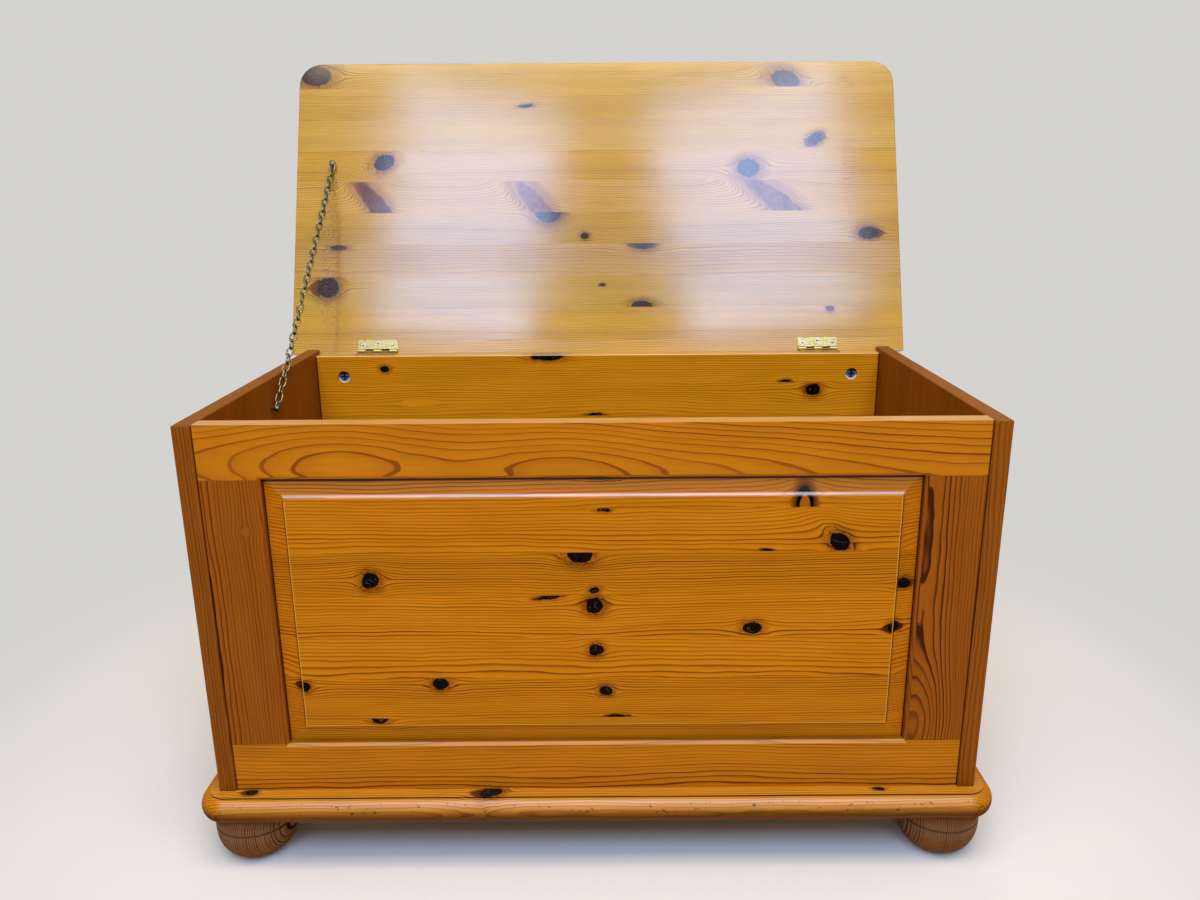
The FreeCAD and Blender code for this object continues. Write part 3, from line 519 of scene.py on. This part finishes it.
panel_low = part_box("front_panel")[0]
panel_bottom = panel_low.z * 1000
panel_stave_foot, panel_stave_width = -7.7, 43.2
opening_half, opening_top = 302, 278.3
tongue_depth, field_margin = 8, 19.5
horseshoe_middle = 193
panel_pine = pine(
    "amber lacquered pine, front panel", (0, panel_low.y, panel_low.z), RIGHT, UP,
    "#bb710a", "#582404", stave=(panel_stave_foot, panel_stave_width), seed=1.9, ring=2.5,
    uneven=0.14, contrast=0.95, autumn_from=0.6,
    # Painted shade along the top rail's underside and the stiles' inner edges, where the panel sits back.
    joint_stain_and_shade=[("across", opening_top), ("along", -opening_half), ("along", opening_half)],
    knots=[
        (227, 217, 10.5, 8, -45), (-209, 181, 8, 8, 0), (-13, 208, 12, 10, 0, 200),
        (0, 170, 5, 3, 0), (0, 154, 8, 8, 0), (149, 130, 9, 6, 0), (283, 129, 6, 5, 0),
        (1, 108, 7, 6, 0), (-280, 71, 6, 5, 0), (-149, 73, 8, 6, 0), (10, 64, 6, 5, 0),
        (-210, 36, 8, 6, 0, 30), (21, 37, 7, 2, 0), (9, 250, 6, 2, 0), (9, 281, 10, 4, 0),
        (291, 173, 6, 5, 0), (-43, 163, 10, 2, 8), (160, 210, 4, 1.5, 0),
    ],
    bends=[(horseshoe_middle, 256, 7, 12, 0)],
)
dress(["front_panel"], panel_pine)


def from_horseshoe(tree, x, z):
    """The distance from a knot on the top moulding, where 1 is its edge, and 1 above its glue line."""
    half_width, height = 8.2, 19.5
    glue_line = panel_bottom + panel_stave_foot + 6 * panel_stave_width
    over = add(tree, "Math", x, horseshoe_middle, operation="SUBTRACT")
    over = add(tree, "Math", over, half_width, operation="DIVIDE")
    up = add(tree, "Math", z, glue_line, operation="SUBTRACT")
    up = add(tree, "Math", up, height, operation="DIVIDE")
    reach = add(tree, "CombineXYZ", over, up, 0.0)
    reach = add(tree, "VectorMath", reach, operation="LENGTH").outputs["Value"]
    return reach, add(tree, "MapRange", z, glue_line - 0.4, glue_line + 0.4)


def horseshoe(tree, x, y, z):
    """A dead knot's black bark, with its heart gone pale, is cut off at a glue line."""
    reach, whole = from_horseshoe(tree, x, z)
    return add(tree, "Math", band(tree, reach, 0.58, 0.98, 0.05), whole, operation="MULTIPLY")


def smoke(tree, x, y, z):
    """Resin has darkened the wood round that knot."""
    reach, whole = from_horseshoe(tree, x, z)
    near = add(tree, "MapRange", reach, 1.9, 0.9, 0.0, 0.85, interpolation_type="SMOOTHSTEP")
    outer = add(tree, "MapRange", reach, 0.6, 0.9)
    outer = add(tree, "Math", outer, whole, operation="MULTIPLY")
    return add(tree, "Math", near, outer, operation="MULTIPLY")


def round_the_field(tree, x, z, inner, outer, soft):
    """A line along the raised field's ends and bottom, from inner to outer millimetres outside it."""
    field_foot = panel_bottom + tongue_depth + field_margin
    field_head = panel_bottom + 260
    ends = add(tree, "Math", x, operation="ABSOLUTE")
    ends = add(tree, "Math", ends, opening_half - field_margin, operation="SUBTRACT")
    under = add(tree, "Math", field_foot, z, operation="SUBTRACT")
    past = add(tree, "Math", ends, under, operation="MAXIMUM")
    line = band(tree, past, inner, outer, soft)
    below_head = add(tree, "MapRange", z, field_head + 1, field_head - 1)
    return add(tree, "Math", line, below_head, operation="MULTIPLY")


def field_edge_highlight(tree, x, y, z):
    """A painted highlight along the field's edge."""
    return add(tree, "Math", round_the_field(tree, x, z, -0.9, 0.2, 0.3), 0.6, operation="MULTIPLY")


def field_step_shade(tree, x, y, z):
    """Painted shade in the corner just outside the field."""
    return round_the_field(tree, x, z, 0.9, 2.2, 0.4)


glaze(panel_pine, pale_painted_light, 0.0, field_edge_highlight, "MIX")
glaze(panel_pine, "#907460", 0.1, field_step_shade)
glaze(panel_pine, "#5e2412", 0.0, smoke)
glaze(panel_pine, "#100402", 0.0, horseshoe)


# ---------------------------------------------------------------- knock-down fittings and dowels
# Die-cast cam housings and steel bolts, both zinc plated: pale, faintly blue, and satin. The
# dowels are plain beech and are hidden in the joints.

def plated(name, colour, roughness, stain, wear, metal=1.0):
    """A metal with a mottle of 2.5 mm spots in its plating.

    wear is how much of the stain shows, and metal is less than 1 where a film dulls the plating.
    """
    material, tree, shader = new_finish(name)
    place = add(tree, "TexCoord").outputs["Object"]
    mottle = add(tree, "TexNoise", place, Scale=1 / 0.0025, Detail=3.0, Roughness=0.65)
    spots = add(tree, "MapRange", mottle, 0.5, 0.75, 0.0, wear)
    colour_mix = add(tree, "MixRGB", spots, linear(colour), linear(stain))
    tree.links.new(colour_mix.outputs[0], shader.inputs["Base Color"])
    rough = add(tree, "Math", mottle, 0.2, roughness - 0.1, operation="MULTIPLY_ADD")
    tree.links.new(rough.outputs[0], shader.inputs["Roughness"])
    shader.inputs["Metallic"].default_value = metal
    bump = add(tree, "Bump", 0.25, 0.0001, Height=mottle)
    tree.links.new(bump.outputs[0], shader.inputs["Normal"])
    return material


zinc = plated("zinc plated die casting", "#6484a4", 0.35, "#1c2c3c", 1.2, metal=0.45)
dress(["cam_locks", "cam_bolts", "base_screws", "foot_screws"], zinc)
side_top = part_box("side_panel_right")[1].z * 1000
cam_inset, cam_drop = 34, 32


def drive_slots(tree, x, y, z):
    """The cross slots of the back housings are in shadow."""
    slot_floor = back_low.y * 1000 + 2.8
    return add(tree, "MapRange", y, slot_floor - 0.5, slot_floor)


def from_cam(tree, x, z):
    """How far a point is from the middle of its upper housing, and how far above that middle."""
    up = add(tree, "Math", z, side_top - cam_drop, operation="SUBTRACT")
    over = add(tree, "Math", x, operation="ABSOLUTE")
    over = add(tree, "Math", over, side_inner - cam_inset, operation="SUBTRACT")
    reach = add(tree, "CombineXYZ", over, up, 0.0)
    return add(tree, "VectorMath", reach, operation="LENGTH").outputs["Value"], up


def hole_shadow(tree, x, y, z):
    """The hole's upper rim shades the top of each housing."""
    _, up = from_cam(tree, x, z)
    return add(tree, "MapRange", up, 2.2, 3.8)


def bright_rim(tree, x, y, z):
    """The housing's cast rim catches the light along its bottom."""
    reach, up = from_cam(tree, x, z)
    rim = add(tree, "MapRange", reach, 5.4, 6.0)
    below = add(tree, "MapRange", up, -0.5, -2.5)
    return add(tree, "Math", rim, below, operation="MULTIPLY")


glaze(zinc, "#0c1218", 0.2, drive_slots)
glaze(zinc, "#101418", 0.2, hole_shadow)
glaze(zinc, "#dfe8ee", 0.2, bright_rim, "MIX")
beech = pine(
    "plain turned beech", (0, 0, 0), RIGHT, UP, "#c9a77c", "#b58f62", ring=1.2, roughness=0.6,
)
dress(["wood_dowels"], beech)


# ---------------------------------------------------------------- hinges
# Two-inch butt hinges of brass, dulled and lightly pitted, with knuckles rolled from the leaves
# round a brass pin. The countersunk screws are brass plated, and worn bright on their heads.

lid_hinge = next(joint for joint in frame["joints"] if joint["name"] == "lid_hinge")
lid_lean = math.radians(lid_hinge["range_deg"][1] - 90)
lid_up = Vector((0, math.sin(lid_lean), math.cos(lid_lean)))
lid_thickness = 0.018
lid_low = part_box("lid")[0]
lid_corner = (0, lid_low.y, lid_low.z + lid_thickness * math.sin(lid_lean))

brass = plated("dulled brass", "#b0985c", 0.36, "#54421c", 1.0)
dress([
    "hinge_left_back_leaf", "hinge_left_lid_leaf", "hinge_left_pin",
    "hinge_right_back_leaf", "hinge_right_lid_leaf", "hinge_right_pin",
], brass)
screw_metal = plated("brass plated screws", "#b4ae98", 0.4, "#3c3018", 0.6)
dress(["hinge_screws_back", "hinge_screws_lid"], screw_metal)


def lid_reach(tree, y, z):
    """The distance up the lid's underside from its rear edge, and the depth behind that face."""
    hinge_side = lid_corner[1] * 1000, lid_corner[2] * 1000
    low_y = add(tree, "Math", y, hinge_side[0], operation="SUBTRACT")
    low_z = add(tree, "Math", z, hinge_side[1], operation="SUBTRACT")
    up = add(tree, "Math", low_z, lid_up.z, operation="MULTIPLY")
    up = add(tree, "Math", low_y, lid_up.y, up, operation="MULTIPLY_ADD")
    behind = add(tree, "Math", low_z, -lid_up.y, operation="MULTIPLY")
    behind = add(tree, "Math", low_y, lid_up.z, behind, operation="MULTIPLY_ADD")
    return up, behind


def knuckle_notches(tree, x, y, z):
    """Each lid leaf is notched for two knuckles of the other leaf, and the notches are in shadow.

    The leaf has five knuckles' widths, and the notches are the second and the fourth.
    """
    up, _ = lid_reach(tree, y, z)
    leaf_low, leaf_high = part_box("hinge_right_lid_leaf")
    half_leaf = (leaf_high.x - leaf_low.x) * 500
    leaf_middle = (leaf_high.x + leaf_low.x) * 500
    off = add(tree, "Math", x, operation="ABSOLUTE")
    off = add(tree, "Math", off, leaf_middle, operation="SUBTRACT")
    off = add(tree, "Math", off, operation="ABSOLUTE")
    window = band(tree, off, 0.2 * half_leaf, 0.6 * half_leaf, 0.3)
    return add(tree, "Math", window, band(tree, up, 2.6, 4.9, 0.2), operation="MULTIPLY")


def dark_drives(tree, x, y, z):
    """The cross slots of the screws in the lid's leaves are in shadow."""
    up, behind = lid_reach(tree, y, z)
    deep = add(tree, "MapRange", behind, -0.8, -0.4)
    clear_of_the_back = add(tree, "MapRange", up, 4.5, 5.0)
    return add(tree, "Math", deep, clear_of_the_back, operation="MULTIPLY")


glaze(brass, "#2a2010", 0.2, knuckle_notches)
glaze(screw_metal, "#1c1810", 0.2, dark_drives)


# ---------------------------------------------------------------- lid
# Glued-up pine board, pale golden where it has faced into the chest and amber on the outside.
# Large knots and wedge-shaped spike knots, cut off at the glue lines.

lid_pine = pine(
    "golden lacquered pine, lid", lid_corner, RIGHT, lid_up,
    "#bf932e", "#7c4a10", stave=(16.5, 42.5), seed=8.8, uneven=0.36, ring=2.1, contrast=0.8,
    roughness=0.1, dead=0.5, gloss=0.5, coat=0.0,
    knots=[
        (-374, 375, 20, 13, 0), (252, 366, 19, 13, -20, 370), (-281, 255, 14, 10, 25),
        (-64, 187, 17, 14, 0, 180), (-16, 154, 5, 4, 0), (200, 245, 15, 12, 10),
        (289, 284, 10, 7, 35), (355, 156, 12, 8, 0), (61, 144, 13, 8, 0, 140),
        (-338, 140, 11, 3, 0), (-351, 87, 14, 13, 0), (58, 60, 14, 7, 0, 64),
        (-94, 332, 9, 2.5, 5), (6, 88, 4, 2, 0), (302, 56, 5, 4, 0),
    ],
    spikes=[
        (-282, 187, 52, 11, 128, 205), (-72, 187, 52, 12, 128, 205), (250, 187, 58, 14, 138, 205),
    ],
)
dress(["lid"], lid_pine)


def outside(tree, x, y, z):
    """The outside has had more light and is more amber."""
    _, behind = lid_reach(tree, y, z)
    return add(tree, "MapRange", behind, 0.3, 1.0)


def on_the_inside(tree, x, y, z, mark, left, right, soft):
    """Keep a mark to the lid's underside, between two distances from the middle of the chest."""
    _, behind = lid_reach(tree, y, z)
    mark = add(tree, "Math", mark, add(tree, "MapRange", behind, 1.0, 0.3), operation="MULTIPLY")
    return add(tree, "Math", mark, band(tree, x, left, right, soft), operation="MULTIPLY")


def rubbed_stripe(tree, x, y, z):
    """The chain has rubbed a wavering stripe beside it, worn in waves 11 mm long."""
    up, _ = lid_reach(tree, y, z)
    wave = add(tree, "Math", up, 0.55, operation="MULTIPLY")
    wave = add(tree, "Math", wave, operation="SINE")
    wave = add(tree, "Math", wave, 0.7, x, operation="MULTIPLY_ADD")
    uneven = add(tree, "TexNoise", W=up, Scale=0.16, Detail=2.0, noise_dimensions="1D")
    wave = add(tree, "Math", uneven, 7.0, wave, operation="MULTIPLY_ADD")
    stripe = band(tree, up, 0, 195, 25)
    return on_the_inside(tree, wave, y, z, stripe, -337.5, -331.5, 1.5)


def chain_dents(tree, x, y, z):
    """Swinging links have chipped the lacquer under the chain, in chips 2 or 3 mm across."""
    up, _ = lid_reach(tree, y, z)
    place = add(tree, "CombineXYZ", x, up, 0.0)
    chips = add(tree, "TexNoise", place, Scale=0.32, Detail=3.0, Roughness=0.7)
    chips = add(tree, "MapRange", chips, 0.56, 0.6)
    chips = add(tree, "Math", chips, band(tree, up, 40, 245, 20), operation="MULTIPLY")
    return on_the_inside(tree, x, y, z, chips, -362, -342, 4)


def scuffs(tree, x, y, z):
    """Short level scuffs at the right, 2 mm apart, in two patches."""
    up, _ = lid_reach(tree, y, z)
    drawn_out = add(tree, "Math", x, 0.06, operation="MULTIPLY")
    place = add(tree, "CombineXYZ", drawn_out, up, 0.0)
    streaks = add(tree, "TexNoise", place, Scale=0.5, Detail=3.0, Roughness=0.7)
    streaks = add(tree, "MapRange", streaks, 0.5, 0.6)
    patches = add(tree, "Math", band(tree, up, 212, 290, 4), band(tree, up, 350, 374, 3), operation="ADD")
    streaks = add(tree, "Math", streaks, patches, operation="MULTIPLY")
    return on_the_inside(tree, x, y, z, streaks, 324, 342, 3)


glaze(lid_pine, "#f4ca94", 0.05, outside)
glaze(lid_pine, "#eee07c", 0.05, rubbed_stripe)
glaze(lid_pine, "#906848", 0.3, chain_dents)
glaze(lid_pine, "#e0cc68", 0.08, scuffs)


# ---------------------------------------------------------------- chain stay
# Light oval-link chain, brass plated and gone dark in the hollows, held by a round-head screw at
# each end.

chain_metal = plated("worn brass-plated chain", "#80775c", 0.28, "#0c0804", 1.2)
dress([
    "chain_lower_links", "chain_upper_links", "chain_lid_link", "chain_side_screw", "chain_lid_screw",
], chain_metal)


# ---------------------------------------------------------------- studio floor
# Matt painted floor, pale and a little warm. It fades into an even pale backdrop round the chest,
# and keeps the chest's shadow.

def seen_directly(tree):
    """1 for a ray from the camera, and for one by a reflection or through glass."""
    rays = add(tree, "LightPath").outputs
    seen = add(tree, "Math", rays["Is Camera Ray"], rays["Is Transmission Ray"], operation="MAXIMUM")
    return add(tree, "Math", seen, rays["Is Glossy Ray"], operation="MAXIMUM")


bpy.ops.mesh.primitive_plane_add(size=30)
floor = bpy.context.object
floor.name = "studio_floor"
backdrop = linear("#d4d3d0")
fade_from, fade_to = 0.42, 0.95     # metres from under the middle of the chest
floor_paint, tree, shader = new_finish("matt pale floor")
shader.inputs["Base Color"].default_value = linear("#e6dccb")
shader.inputs["Roughness"].default_value = 0.8
far = add(tree, "VectorMath", add(tree, "TexCoord").outputs["Object"], operation="LENGTH").outputs["Value"]
far = add(tree, "MapRange", far, fade_from, fade_to, interpolation_type="SMOOTHSTEP")
far = add(tree, "Math", far, seen_directly(tree), operation="MULTIPLY")
haze = add(tree, "MixShader", far, shader, add(tree, "Emission", backdrop, 1.0))
tree.links.new(haze.outputs[0], tree.nodes["Material Output"].inputs["Surface"])
floor.data.materials.append(floor_paint)


# ---------------------------------------------------------------- studio light
# Two soft boxes high in front show in the lid's lacquer as two broad patches. A low warm lamp fills
# the front, one overhead lights the tops, and weak ones the back and the sides, under a pale sky.

def soft_lamp(name, place, aim, width, height, power, colour):
    """A rectangular soft box that points at a spot."""
    lamp = bpy.data.lights.new(name, "AREA")
    lamp.shape = "RECTANGLE"
    lamp.size, lamp.size_y = width, height
    lamp.energy = power
    lamp.color = linear(colour)[:3]
    holder = bpy.data.objects.new(name, lamp)
    holder.location = place
    holder.rotation_euler = (Vector(aim) - Vector(place)).to_track_quat("-Z", "Y").to_euler()
    bpy.context.scene.collection.objects.link(holder)


chest_middle = (0, 0, 0.4)
day, lamplight, warm = "#a8c8ff", "#fff4e4", "#ffd8b0"
soft_lamp("left_soft_box", (-0.58, -1.9, 2.25), chest_middle, 0.66, 1.0, 32, day)
soft_lamp("right_soft_box", (0.63, -1.9, 2.3), chest_middle, 0.76, 1.0, 36, day)
soft_lamp("front_fill", (0, -2.4, 0.75), chest_middle, 1.6, 0.9, 7, warm)
soft_lamp("ceiling_box", (0, -0.85, 2.5), (0, -0.85, 0), 2.2, 0.95, 45, lamplight)
soft_lamp("rear_fill", (0.3, 2.3, 1.7), chest_middle, 1.6, 1.2, 22, lamplight)
soft_lamp("left_fill", (-2.4, 0.2, 1.0), chest_middle, 1.2, 1.0, 8, lamplight)
soft_lamp("right_fill", (2.4, 0.2, 1.0), chest_middle, 1.2, 1.0, 8, lamplight)

world = bpy.data.worlds.new("even pale sky")
bpy.context.scene.world = world
world.use_nodes = True
sky = world.node_tree
sky.nodes.clear()
daylight = add(sky, "Background", (1.0, 0.99, 0.97, 1), 0.18)
pale = add(sky, "Background", backdrop, 1.0)
add(sky, "OutputWorld", add(sky, "MixShader", seen_directly(sky), daylight, pale))


# ---------------------------------------------------------------- camera
# A moderately wide lens, close in front of the chest and a little above its rim, tipped down. Its
# shift is small.

camera = bpy.data.cameras.new("studio_camera")
camera.sensor_width = 36
camera.lens = 26.99
camera.shift_x, camera.shift_y = -0.0095, -0.0252
camera_place = (0.0170, -1.0244, 0.6627)
camera_pitch = math.radians(14.80)
camera_roll = math.radians(-0.38)
camera_holder = bpy.data.objects.new("studio_camera", camera)
camera_holder.matrix_world = (
    Matrix.Translation(camera_place)
    @ Matrix.Rotation(math.pi / 2 - camera_pitch, 4, "X")
    @ Matrix.Rotation(camera_roll, 4, "Z")
)
bpy.context.scene.collection.objects.link(camera_holder)
bpy.context.scene.camera = camera_holder
bpy.context.scene.view_settings.view_transform = "Standard"
